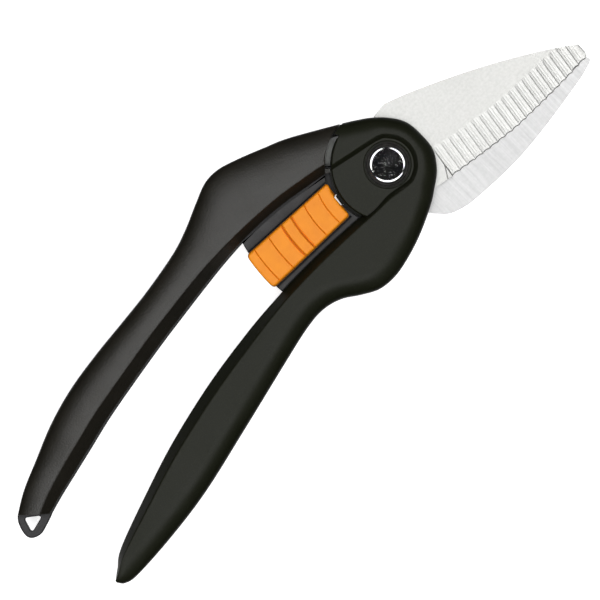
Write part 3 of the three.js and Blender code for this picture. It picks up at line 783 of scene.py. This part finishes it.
def ground_blade(columns, rest, side):
    """A blade whose edge is ground along columns from the cutting edge to the spine.

    A column is its foot, its end on the spine, the length of the ground part and how far it lies
    below the plane of the grinding. rest is the plan of what isn't ground, from the last column's
    end round the head to its foot."""
    rows = []
    for foot, end, length, drop in columns:
        foot, end = np.array(foot, float), np.array(end, float)
        span = np.linalg.norm(end - foot)
        along = (end - foot) / span
        rise = BLADE_TOP - EDGE_HEIGHT
        ground = min(length, span)
        row = []
        for share in GRIND_ROWS:
            reach = share * ground
            point = foot + reach * along
            height = EDGE_HEIGHT + rise * reach / length
            height -= drop * min(1, (length - reach) / DROP_FADE)
            row.append((*point, min(height, BLADE_GAP + EDGE_LAND + EDGE_SLOPE * reach)))
        row.append((*end, max(row[-1][2], BLADE_TOP if ground < span else 0)))
        row.append((*end, BLADE_GAP))
        row.append((*foot, BLADE_GAP))
        rows.append(row)
    count = len(rows[0])
    vertices = [point for row in rows for point in row]
    faces = [*walls(len(rows), count), tuple(range(count))]
    # The head and tang, from the last column on
    first = len(vertices)
    vertices += [(*point, BLADE_TOP) for point in rest] + [(*point, BLADE_GAP) for point in rest]
    last = (len(rows) - 1) * count
    grind_end, spine_top, spine_low, foot_low = (last + count - n for n in (4, 3, 2, 1))
    top = list(range(first, first + len(rest)))
    low = list(range(first + len(rest), first + 2 * len(rest)))
    faces.append((grind_end, spine_top, *top))
    faces.append((top[-1], *range(last, grind_end + 1)))
    faces.append((foot_low, spine_low, *low))
    faces += [(top[i], top[i + 1], low[i + 1], low[i]) for i in range(len(rest) - 1)]
    faces.append((spine_top, top[0], low[0], spine_low))
    faces.append((top[-1], last, foot_low, low[-1]))
    vertices = [(x, y, side * z) for x, y, z in vertices]
    return solid(vertices, faces)


def scribed(line):
    """V-shaped lines in the near blade's face."""
    half, depth = 0.16, 0.16
    tools = []
    for start, end in zip(line[:-1], line[1:]):
        aside = half * leftward(start, end)
        tools.append(loft([[(*(point + aside), BLADE_TOP + 0.01), (*point, BLADE_TOP - depth),
                            (*(point - aside), BLADE_TOP + 0.01)] for point in (start, end)]))
    return tools


def blade_bores(body, pins):
    return cut(body, disc(BORE_RADIUS, -9, 9), *pin_holes(pins))


def upper_blade():
    """The near blade, with its row of flutes."""
    spine = spline(UPPER_SPINE, 240)
    edge = spline(UPPER_EDGE, 400)
    columns = [
        ((63.02, -17.5), (63.1, -14.5), 9, 0),
        ((62.75, -18.1), (62.95, -14.02), 9, 0),
        ((62.3, -18.48), (62.7, -13.84), 9, 0),
    ]
    for i in range(SCALLOPS * FLUTE_STEPS + 1):
        share = i / (SCALLOPS * FLUTE_STEPS)
        across = (i % FLUTE_STEPS) / FLUTE_STEPS
        foot = by_length(edge, [share])[0]
        reach = hit(foot, FLUTE_DIRECTION, spine)
        end = foot + reach * FLUTE_DIRECTION
        foot = foot + 4 * across * (1 - across) * SCALLOP_DEPTH * FLUTE_DIRECTION
        length = FLUTE_LENGTHS[0] + (FLUTE_LENGTHS[1] - FLUTE_LENGTHS[0]) * share
        columns.append((foot, end, length, flute_profile(across)))
    rest = [*head_spine(spine, columns), *upper_blade_back(), (10.95, -15.35)]
    body = cut(ground_blade(columns, rest, 1), *scribed(PLUNGE_LINE), *scribed(PLUNGE_FACET))
    return blade_bores(body, mirrored(TANG_PINS))


def lower_blade():
    """The far blade, flat in front and ground along its edge at the rear."""
    spine = spline(LOWER_SPINE, 240)
    edge = spline(LOWER_EDGE, 120)
    direction = np.array([0.2, -0.98])
    columns = [((62.75, -19.2), (62.8, -19.85), 5, 0), ((62.4, -18.6), (62.5, -20.02), 5, 0)]
    for foot in edge:
        columns.append((foot, foot + hit(foot, direction, spine) * direction, 5, 0))
    rest = [*head_spine(spine, columns), *lower_blade_back()]
    body = cut(ground_blade(columns, rest, -1), ring_sector(**TANG_GROOVE))
    return blade_bores(body, TANG_PINS)


# ---- pivot and springs ----


def pivot_rivet():
    dome = spline([(5.45, 6.4), (5.44, 6.76), (5.33, 6.98), (5.1, 7.13), (4.8, 7.22),
                   (4.4, 7.262), (3.6, 7.28), (1.8, 7.293), (0, 7.3)], 48)
    return turned([(0, -6), (2.55, -6), (2.65, -5.9), (2.65, 5.9), (5.35, 5.9), (5.45, 6.0),
                   *dome[:-1], (0, 7.3)])


def pivot_sleeve():
    rim = spline([(3.6, -7.3), (4.45, -7.18), (4.92, -6.95), (5.22, -6.68), (5.33, -6.35)], 16)
    return turned([(0, -7.3), *rim, (5.33, -6.0), (5.23, -5.9), (3.8, -5.9), (3.8, 5.65),
                   (3.7, 5.75), (2.95, 5.75), (2.95, -6.3), (0, -6.3)])


def washer(low):
    """A washer with a turned groove in each face."""
    hole, edge, high, rim = 4.1, 6.3, low + 0.35, 0.08
    groove, width, depth = 5.95, 0.12, 0.09
    upper = [(edge, high - rim), (edge - rim, high), (groove + width, high), (groove, high - depth),
             (groove - width, high), (hole + rim, high), (hole, high - rim)]
    lower = [(radius, low + high - height) for radius, height in upper[::-1]]
    return turned([*lower, *upper])


def return_spring():
    """Wire in along the moving leg, round the sleeve and out to the held leg."""
    lead, coil_start, coil_span = 8, 0.16, 0.78
    start, finish = SPRING_LEG_ANGLE + lead, SPRING_FIXED_ANGLE + 360 - lead
    shares = np.linspace(0, 1, 261)

    def eased(low, high):
        t = np.clip((shares - low) / (high - low), 0, 1)
        return t * t * (3 - 2 * t)

    coil = np.clip((shares - coil_start) / coil_span, 0, 1)
    leg_out = eased(0.92, 1)
    bend = lead * np.minimum(shares / coil_start, 1) ** 4
    degrees = start + (finish - start) * coil + bend - lead
    moving, held = (reach - SPRING_RADIUS for reach in SPRING_REACHES)
    radius = SPRING_RADIUS + moving * (1 - eased(0, 0.2)) + held * leg_out
    plan = polar(radius, degrees + lead * leg_out).T
    path = np.column_stack([plan, SPRING_LOW + (SPRING_HIGH - SPRING_LOW) * coil])
    along = unit(np.gradient(path, axis=0))
    aside = unit(np.cross(along, (0, 0, 1)))
    above = np.cross(aside, along)
    turns = np.linspace(0, 2 * np.pi, 13)[:-1]
    around = [
        path + SPRING_WIRE / 2 * (math.cos(t) * aside + math.sin(t) * above) for t in turns
    ]
    return loft(np.stack(around, axis=1))


# ---- lock slider ----

GROOVE_HALF, GROOVE_DEPTH = 0.22, 0.3
HOLLOW_HALF, HOLLOW_DEPTH = 0.35, 0.45  # the hollows beside the rib


def on_side(line, radius):
    """Where a side line of the slider crosses the circle of that radius about the pivot."""
    start, end = map(np.array, line)
    along = unit(end - start)
    nearest = -start @ along
    away = np.linalg.norm(start + nearest * along)
    return start + (nearest + math.sqrt(radius**2 - away**2)) * along


def slider_top(radius, rib_height):
    """Height over the slider's upper level at a distance from the pivot."""
    height = 0.0
    for groove in SLIDER_GROOVES:
        height -= GROOVE_DEPTH * max(0.0, 1 - abs(radius - groove) / GROOVE_HALF)
    rise = min(radius - SLIDER_RIB[0], SLIDER_RIB[1] - radius) / 0.4
    height += rib_height * min(max(rise + 0.5, 0), 1)
    for line, way in zip(SLIDER_RIB, (-1, 1)):
        middle = line + HOLLOW_HALF * way
        height -= HOLLOW_DEPTH * max(0.0, 1 - abs(radius - middle) / HOLLOW_HALF)
    return height


def slider_plate(side):
    low, high = SLIDER_LEVELS
    near, far = SLIDER_ENDS
    corner, edge = 1.1, 0.7
    ends = [0, 0.05, 0.13, 0.26, 0.45, 0.7, 0.9, 1.1]
    breaks = [near + e for e in ends] + [far - e for e in ends[::-1]]
    for groove in SLIDER_GROOVES:
        breaks += list(np.linspace(groove - GROOVE_HALF, groove + GROOVE_HALF, 7))
    for line in SLIDER_RIB:
        breaks += list(np.linspace(line - 0.9, line + 0.9, 19))
    breaks += list(np.linspace(near + 1.5, far - 1.5, 40))
    sections = []
    for radius in sorted(set(np.round(breaks, 3))):
        from_end = min(radius - near, far - radius)
        short = corner - min(from_end, corner)
        inset = corner - math.sqrt(max(corner**2 - short**2, 0))
        short = edge - min(from_end, edge)
        fall = edge - math.sqrt(max(edge**2 - short**2, 0))
        top = high - fall + slider_top(radius, SLIDER_RIB_HEIGHT if side > 0 else 0)
        upper, lower = (on_side(line, radius) for line in SLIDER_SIDES)
        start, end = (np.degrees(np.arctan2(p[1], p[0])) % 360 for p in (upper, lower))
        width = radius * np.radians(end - start) - 2 * inset
        wall = [(0, low), (0.12, top - 1.3)]
        rounded = filleted((0.12, top - 1.3), (0.45, top), (width / 2, top + 0.12), 0.7, 5)
        half = [*wall, *rounded, (width * 0.25, top + 0.08)]
        profile = [*half, (width / 2, top + 0.12), *[(width - d, h) for d, h in half[::-1]]]
        section = []
        for distance, height in profile:
            plan = polar(radius, start + np.degrees((inset + distance) / radius))
            section.append((*plan, side * height))
        sections.append(section)
    notch = bar(*SLIDER_NOTCH, SLOT_HALF - 0.12, *sided(side, low - 1, high + 1))
    return cut(loft(sections), notch)


# ---- materials ----


class Material:
    """A node material. Numbers that are the same all over are set on the shader's own sockets."""

    def __init__(self, name, **sockets):
        self.material = bpy.data.materials.new(name)
        self.material.use_nodes = True
        self.tree = self.material.node_tree
        self.shader = self.tree.nodes["Principled BSDF"]
        for socket, value in sockets.items():
            self.shader.inputs[socket.replace("_", " ")].default_value = value
        self.place = self.node("ShaderNodeTexCoord", output="Object")

    def node(self, kind, settings=(), output=0, **inputs):
        """A new node's output. An input is given by its name, or by its number as i0, i1..."""
        made = self.tree.nodes.new(kind)
        for key, value in dict(settings).items():
            setattr(made, key, value)
        for key, value in inputs.items():
            socket = made.inputs[int(key[1:]) if key[1:].isdigit() else key.replace("_", " ")]
            if isinstance(value, bpy.types.NodeSocket):
                self.tree.links.new(value, socket)
            else:
                socket.default_value = value
        return made.outputs[output]

    def stretched(self, scale, turn=0.0):
        """The object's coordinates scaled unevenly, for lines."""
        return self.node("ShaderNodeMapping", Vector=self.place, Scale=scale,
                         Rotation=(0, 0, turn))

    def noise(self, scale, detail=3.0, place=None, roughness=0.5):
        return self.node("ShaderNodeTexNoise", Scale=scale, Detail=detail, Roughness=roughness,
                         Vector=place or self.place)

    def ramp(self, value, low, high, start=0.0, end=1.0):
        """A value spread from low..high to start..end."""
        return self.node("ShaderNodeMapRange", Value=value, From_Min=low, From_Max=high,
                         To_Min=start, To_Max=end)

    def mix(self, share, first, second):
        """Two colours mixed. A plain colour is given by its three parts."""
        first, second = (tone if isinstance(tone, bpy.types.NodeSocket) else (*tone, 1)
                         for tone in (first, second))
        return self.node("ShaderNodeMix", {"data_type": "RGBA"}, 2, i0=share, i6=first, i7=second)

    def mottled(self, value, dark, light):
        return self.mix(self.ramp(value, 0.35, 0.65), dark, light)

    def times(self, first, second):
        return self.node("ShaderNodeMath", {"operation": "MULTIPLY"}, i0=first, i1=second)

    def plus(self, first, second):
        return self.node("ShaderNodeMath", {"operation": "ADD"}, i0=first, i1=second)

    def bump(self, height, distance, strength=1.0, under=None):
        inputs = {"Height": height, "Distance": distance, "Strength": strength}
        if under:
            inputs["Normal"] = under
        return self.node("ShaderNodeBump", **inputs)

    def shaded(self, colour, roughness=None, normal=None):
        """The material, with these joined to its shader."""
        inputs = {"Base Color": colour, "Roughness": roughness, "Normal": normal}
        for socket, value in inputs.items():
            if value:
                self.tree.links.new(value, self.shader.inputs[socket])
        return self.material

    def pointed(self, low, high):
        """How convex the surface is, from 0 at low to 1 at high. A flat face measures 0.5."""
        return self.ramp(self.node("ShaderNodeNewGeometry", output="Pointiness"), low, high)


def scaled(colour, factor):
    return [factor * part for part in colour]


def plastic(name, dark, light, roughness, grain_scale, grain_depth, specular):
    """Moulded nylon: a fine grain, soft mottling, a few scuffs, and convex edges painted lighter,
    partly as wear and partly as a painted highlight.
    """
    m = Material(name, Specular_IOR_Level=specular)
    mottle = m.noise(90, 4)
    fine = m.noise(grain_scale, 2)
    scuffs = m.noise(1, 5, m.stretched((90, 700, 90), 0.5), 0.7)
    # Convex edges, broken up by noise, are painted lighter: partly wear, partly a painted edge
    # highlight.
    wear_and_edge_highlight = m.times(m.pointed(0.53, 0.62), m.ramp(m.noise(260, 3), 0.45, 0.62))
    tone = m.mottled(mottle, dark, light)
    tone = m.mix(m.times(m.ramp(fine, 0.5, 0.75), 0.35), tone, scaled(light, 2.2))
    tone = m.mix(m.times(wear_and_edge_highlight, 0.5), tone, scaled(light, 3))
    varied = m.plus(m.ramp(mottle, 0.3, 0.7, roughness - 0.03, roughness + 0.04),
                    m.ramp(scuffs, 0.62, 0.8, 0, 0.12))
    return m.shaded(tone, varied, m.bump(fine, grain_depth, 1.0, m.bump(scuffs, 0.00002, 0.4)))


TANG_SHADE_END = (-0.006, -0.004)  # where the painted shade on a tang fades out, along X in metres
TANG_SHADE_COLOUR = (0.21, 0.215, 0.205)


def brushed(name, colour, contrast, roughness, across, turn, depth, mottling):
    """Steel brushed across the blade, with a fine mottle and faint smudges. The tang, which lies
    inside the handle, is coloured dark as painted shade."""
    m = Material(name, Metallic=1.0)
    lines = m.noise(1, 4, m.stretched(across, turn), 0.6)
    coarse = m.noise(1, 2, m.stretched(scaled(across, 0.3), turn), 0.6)
    mottle = m.noise(1300, 2)
    smudge = m.noise(55, 3)
    shade = m.plus(m.times(m.plus(lines, coarse), 0.5 - mottling / 2), m.times(mottle, mottling))
    ground = m.mottled(shade, scaled(colour, 1 - contrast), colour)
    along = m.node("ShaderNodeSeparateXYZ", Vector=m.place)
    # Painted shade: the steel left of the pivot, where the tang lies deep in the handle's gap, is
    # coloured dark.
    scale = m.ramp(m.plus(along, m.times(m.plus(smudge, -0.5), 0.002)), *TANG_SHADE_END)
    varied = m.plus(m.ramp(lines, 0.3, 0.7, roughness - 0.04, roughness + 0.05),
                    m.ramp(smudge, 0.4, 0.7, 0, 0.05))
    return m.shaded(m.mix(scale, TANG_SHADE_COLOUR, ground), varied,
                    m.bump(lines, depth, 1.0, m.bump(smudge, 0.00003, 0.15)))


def chromed(name):
    """Polished chrome with a soft haze, short marks, and dull specks that crowd in the middle."""
    m = Material(name, Metallic=1.0)
    cloud = m.noise(420, 3)
    away = m.node("ShaderNodeVectorMath", {"operation": "LENGTH"}, "Value",
                  i0=m.stretched((1, 1, 0)))
    middle = m.ramp(away, 0.0003, 0.003, 0.07, 0)
    specks = m.ramp(m.plus(m.noise(3200, 1, None, 0.6), middle), 0.63, 0.77)
    marks = m.ramp(m.noise(1, 2, m.stretched((2200, 500, 500), 0.75), 0.6), 0.68, 0.76)
    tone = m.mix(m.ramp(cloud, 0.4, 0.6), (0.4, 0.4, 0.46), (0.52, 0.52, 0.5))
    varied = m.plus(0.068, m.plus(m.times(specks, 0.15), m.times(marks, 0.2)))
    return m.shaded(m.mix(specks, tone, (0.8, 0.8, 0.78)), varied,
                    m.bump(specks, 0.000004, 0.5, m.bump(cloud, 0.00001, 0.3)))


def drawn_steel(name, colour, roughness):
    """Oiled wire or strip steel with drawing lines and dull patches."""
    m = Material(name, Metallic=1.0)
    patches = m.noise(700, 4)
    lines = m.noise(1, 3, m.stretched((500, 500, 6000)), 0.6)
    varied = m.ramp(lines, 0.3, 0.7, roughness - 0.06, roughness + 0.1)
    return m.shaded(m.mottled(patches, scaled(colour, 0.6), colour), varied,
                    m.bump(lines, 0.00001, 0.6))


def orange_plastic(name):
    """Satin orange plastic with painted shade darkening its hollows, and fine scratches along its
    length.
    """
    m = Material(name, Specular_IOR_Level=0.28)
    mottle = m.noise(300, 4)
    fine = m.noise(3800, 2)
    scratch = m.noise(1, 5, m.stretched((120, 2400, 120), 0.06), 0.7)
    # Painted shade: concave places, found by pointiness, are mixed towards a dark brown-orange.
    hollow_shade = m.pointed(0.44, 0.5)
    tone = m.mottled(mottle, (0.93, 0.285, 0.007), (0.98, 0.32, 0.011))
    tone = m.mix(hollow_shade, (0.5, 0.1, 0.004), tone)
    tone = m.mix(m.ramp(scratch, 0.66, 0.82, 0, 0.25), tone, (0.95, 0.42, 0.1))
    varied = m.plus(m.ramp(mottle, 0.3, 0.7, 0.42, 0.5), m.ramp(scratch, 0.6, 0.8, 0, 0.12))
    return m.shaded(tone, varied, m.bump(fine, 0.00001, 0.8, m.bump(scratch, 0.00001, 0.5)))


SMOOTH_BLACK = plastic(
    "satin_black_nylon", (0.0088, 0.01, 0.0046), (0.0104, 0.0117, 0.0058), roughness=0.46,
    grain_scale=2600, grain_depth=0.000015, specular=0.18)
GRAINED_BLACK = plastic(
    "grained_black_nylon", (0.0078, 0.0067, 0.0036), (0.0114, 0.0094, 0.0053), roughness=0.48,
    grain_scale=2000, grain_depth=0.00009, specular=0.57)
GREY = plastic(
    "grey_core_nylon", (0.0175, 0.0175, 0.0185), (0.0225, 0.0225, 0.0235), roughness=0.5,
    grain_scale=2300, grain_depth=0.00002, specular=0.33)
ORANGE = orange_plastic("orange_nylon")
NEAR_STEEL = brushed(
    "brushed_steel_near", (0.46, 0.46, 0.447), contrast=0.13, roughness=0.38,
    across=(900, 9000, 900), turn=0.9, depth=0.000004, mottling=0.6)
FAR_STEEL = brushed(
    "brushed_steel_far", (0.48, 0.48, 0.48), contrast=0.26, roughness=0.38,
    across=(3600, 120, 3600), turn=0.1, depth=0.000004, mottling=0.2)
CHROME = chromed("pivot_chrome")
WIRE = drawn_steel("spring_wire", (0.03, 0.03, 0.031), roughness=0.45)
DARK_STEEL = drawn_steel("washer_steel", (0.03, 0.029, 0.027), roughness=0.4)


# ---- assembly ----


def make_pieces():
    upper_outline, lower_outline = upper_blade_outline(), lower_blade_outline()
    lower, upper = "lower_handle", "upper_handle"
    rows = [
        ("front_grip_lower", lower_front_shell(upper_outline), SMOOTH_BLACK, "lower_shell", lower,
         "lower_handle_front_shell"),
        ("rear_grip_lower", lower_rear_shell(), SMOOTH_BLACK, "lower_shell", lower,
         "lower_handle_rear_shell"),
        ("front_grip_upper", upper_front_shell(), GRAINED_BLACK, "upper_shell", upper,
         "upper_handle_front_shell"),
        ("rear_grip_upper", upper_rear_shell(lower_outline), GRAINED_BLACK, "upper_shell", upper,
         "upper_handle_rear_shell"),
        ("core_lower", lower_core(upper_outline), GREY, "core", lower, "lower_handle_core"),
        ("core_upper", upper_core(lower_outline), GREY, "core", upper, "upper_handle_core"),
        ("fluted_blade", upper_blade(), NEAR_STEEL, "blade_steel", lower, "upper_blade"),
        ("plain_blade", lower_blade(), FAR_STEEL, "blade_steel", upper, "lower_blade"),
        ("rivet", pivot_rivet(), CHROME, "pivot_chrome", lower, "pivot_rivet"),
        ("sleeve", pivot_sleeve(), CHROME, "pivot_chrome", lower, "pivot_sleeve"),
        ("front_washer", washer(COUNTERBORE_FLOOR + 0.1), DARK_STEEL, "spring_steel", lower,
         "pivot_washer_front"),
        ("rear_washer", washer(-COUNTERBORE_FLOOR - 0.45), DARK_STEEL, "spring_steel", lower,
         "pivot_washer_rear"),
        ("slider_front", slider_plate(1), ORANGE, "lock_orange", "lock_slider",
         "lock_slider_front"),
        ("slider_rear", slider_plate(-1), ORANGE, "lock_orange", "lock_slider",
         "lock_slider_rear"),
    ]
    for row in rows:
        finished(*row)
    spring = finished("spring", return_spring(), WIRE, "spring_steel", None, "return_spring")
    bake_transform(spring)
    for node in ("upper_blade_pin_1", "upper_blade_pin_2", "lower_blade_pin_1",
                 "lower_blade_pin_2", "lock_detent_spring"):
        give(node, WIRE)
    give("lock_stem", ORANGE)


def give(node, material):
    """A new finish for a CAD node that keeps its own shape."""
    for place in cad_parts[node].material_slots:
        place.material = material


make_pieces()


# ---- studio ----

VIEW_TURN = math.radians(-45)  # the picture's right is between +X and -Y
VIEW_CENTRE = Vector((-44.9, -9.65, 0)) * MM
VIEW_WIDTH = 172.0 * MM
LENS = 200.0
SENSOR = 36.0
# Each light's turn from the picture's right, anticlockwise, and its size across and along the tilt
SOFTBOXES = {
    "softbox_left": (145, (1.2, 0.95)),
    "softbox_right": (38, (1.02, 0.75)),
    "softbox_near": (284, (1.7, 0.95)),
}
SOFTBOX_TILT = math.radians(21)  # from the zenith
SOFTBOX_DISTANCE = 2.0
SOFTBOX_POWER = 11.4  # for each square metre of a light's box
# The room's brightness from straight down (0) to the zenith (1)
ROOM = [(0.0, 0.9), (0.1, 0.8), (0.14, 0.01), (0.47, 0.01), (0.52, 0.08), (0.7, 0.08), (0.9, 0.04),
        (1.0, 0.008)]


def camera():
    made = placed("camera", bpy.data.cameras.new("camera"))
    made.data.lens = LENS
    made.data.sensor_width = SENSOR
    made.data.clip_end = 20
    distance = VIEW_WIDTH * LENS / SENSOR
    made.location = VIEW_CENTRE + Vector((0, 0, distance + MID_HEIGHT * MM))
    made.rotation_euler = (0, 0, VIEW_TURN)
    bpy.context.scene.camera = made


def softbox(name, turn, size):
    made = placed(name, bpy.data.lights.new(name, "AREA"))
    made.data.shape = "ELLIPSE"
    made.data.size, made.data.size_y = size
    made.data.energy = SOFTBOX_POWER * size[0] * size[1]
    angle, lean = VIEW_TURN + math.radians(turn), SOFTBOX_TILT
    way = Vector((math.cos(angle) * math.sin(lean), math.sin(angle) * math.sin(lean),
                  math.cos(lean)))
    made.location = VIEW_CENTRE + SOFTBOX_DISTANCE * way
    made.rotation_mode = "QUATERNION"
    made.rotation_quaternion = way.to_track_quat("Z", "Y")


def pale(name, shade, glow):
    """A pale painted surface that glows a little, so that the object's shadow stays faint."""
    m = Material(name, Specular_IOR_Level=0.1, Roughness=0.9, Emission_Strength=glow,
                 Emission_Color=(1, 1, 1, 1))
    return m.shaded(m.mix(m.noise(1.5, 2), (shade,) * 3, (shade - 0.02,) * 3))


def stage():
    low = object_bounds()[0].z
    reach, height = 4.0, 3.0
    floor = plate([polar(reach, 6 * i) for i in range(60)], -0.02, 0)
    floor.name = "floor"
    floor.location = (0, 0, low - 0.0002)
    wall = cut(disc(reach, 0, height), disc(reach - 0.05, -1, height + 1))
    wall.name = "backdrop"
    wall.location = (0, 0, low)
    for made in (floor, wall):
        made.data.materials.append(PALE)
        made.visible_glossy = made.visible_diffuse = made.visible_shadow = False
    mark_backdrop(floor, wall)


def surroundings():
    """A dim room: dark overhead, grey at the sides and below, white straight down."""
    world = bpy.data.worlds.new("studio")
    bpy.context.scene.world = world
    world.use_nodes = True
    tree = world.node_tree
    place = tree.nodes.new("ShaderNodeTexCoord").outputs["Generated"]
    split = tree.nodes.new("ShaderNodeSeparateXYZ")
    ramp = tree.nodes.new("ShaderNodeValToRGB")
    spread = tree.nodes.new("ShaderNodeMapRange")
    spread.inputs["From Min"].default_value = -1
    tree.links.new(place, split.inputs[0])
    tree.links.new(split.outputs["Z"], spread.inputs["Value"])
    tree.links.new(spread.outputs["Result"], ramp.inputs["Fac"])
    tree.links.new(ramp.outputs["Color"], tree.nodes["Background"].inputs["Color"])
    elements = ramp.color_ramp.elements
    while len(elements) < len(ROOM):
        elements.new(0.5)
    for element, (position, level) in zip(elements, ROOM):
        element.position = position
        element.color = (level, level, level, 1)


PALE = pale("pale_paint", shade=0.85, glow=0.75)
camera()
for name, (turn, size) in SOFTBOXES.items():
    softbox(name, turn, size)
stage()
surroundings()
bpy.context.scene.view_settings.view_transform = "Standard"
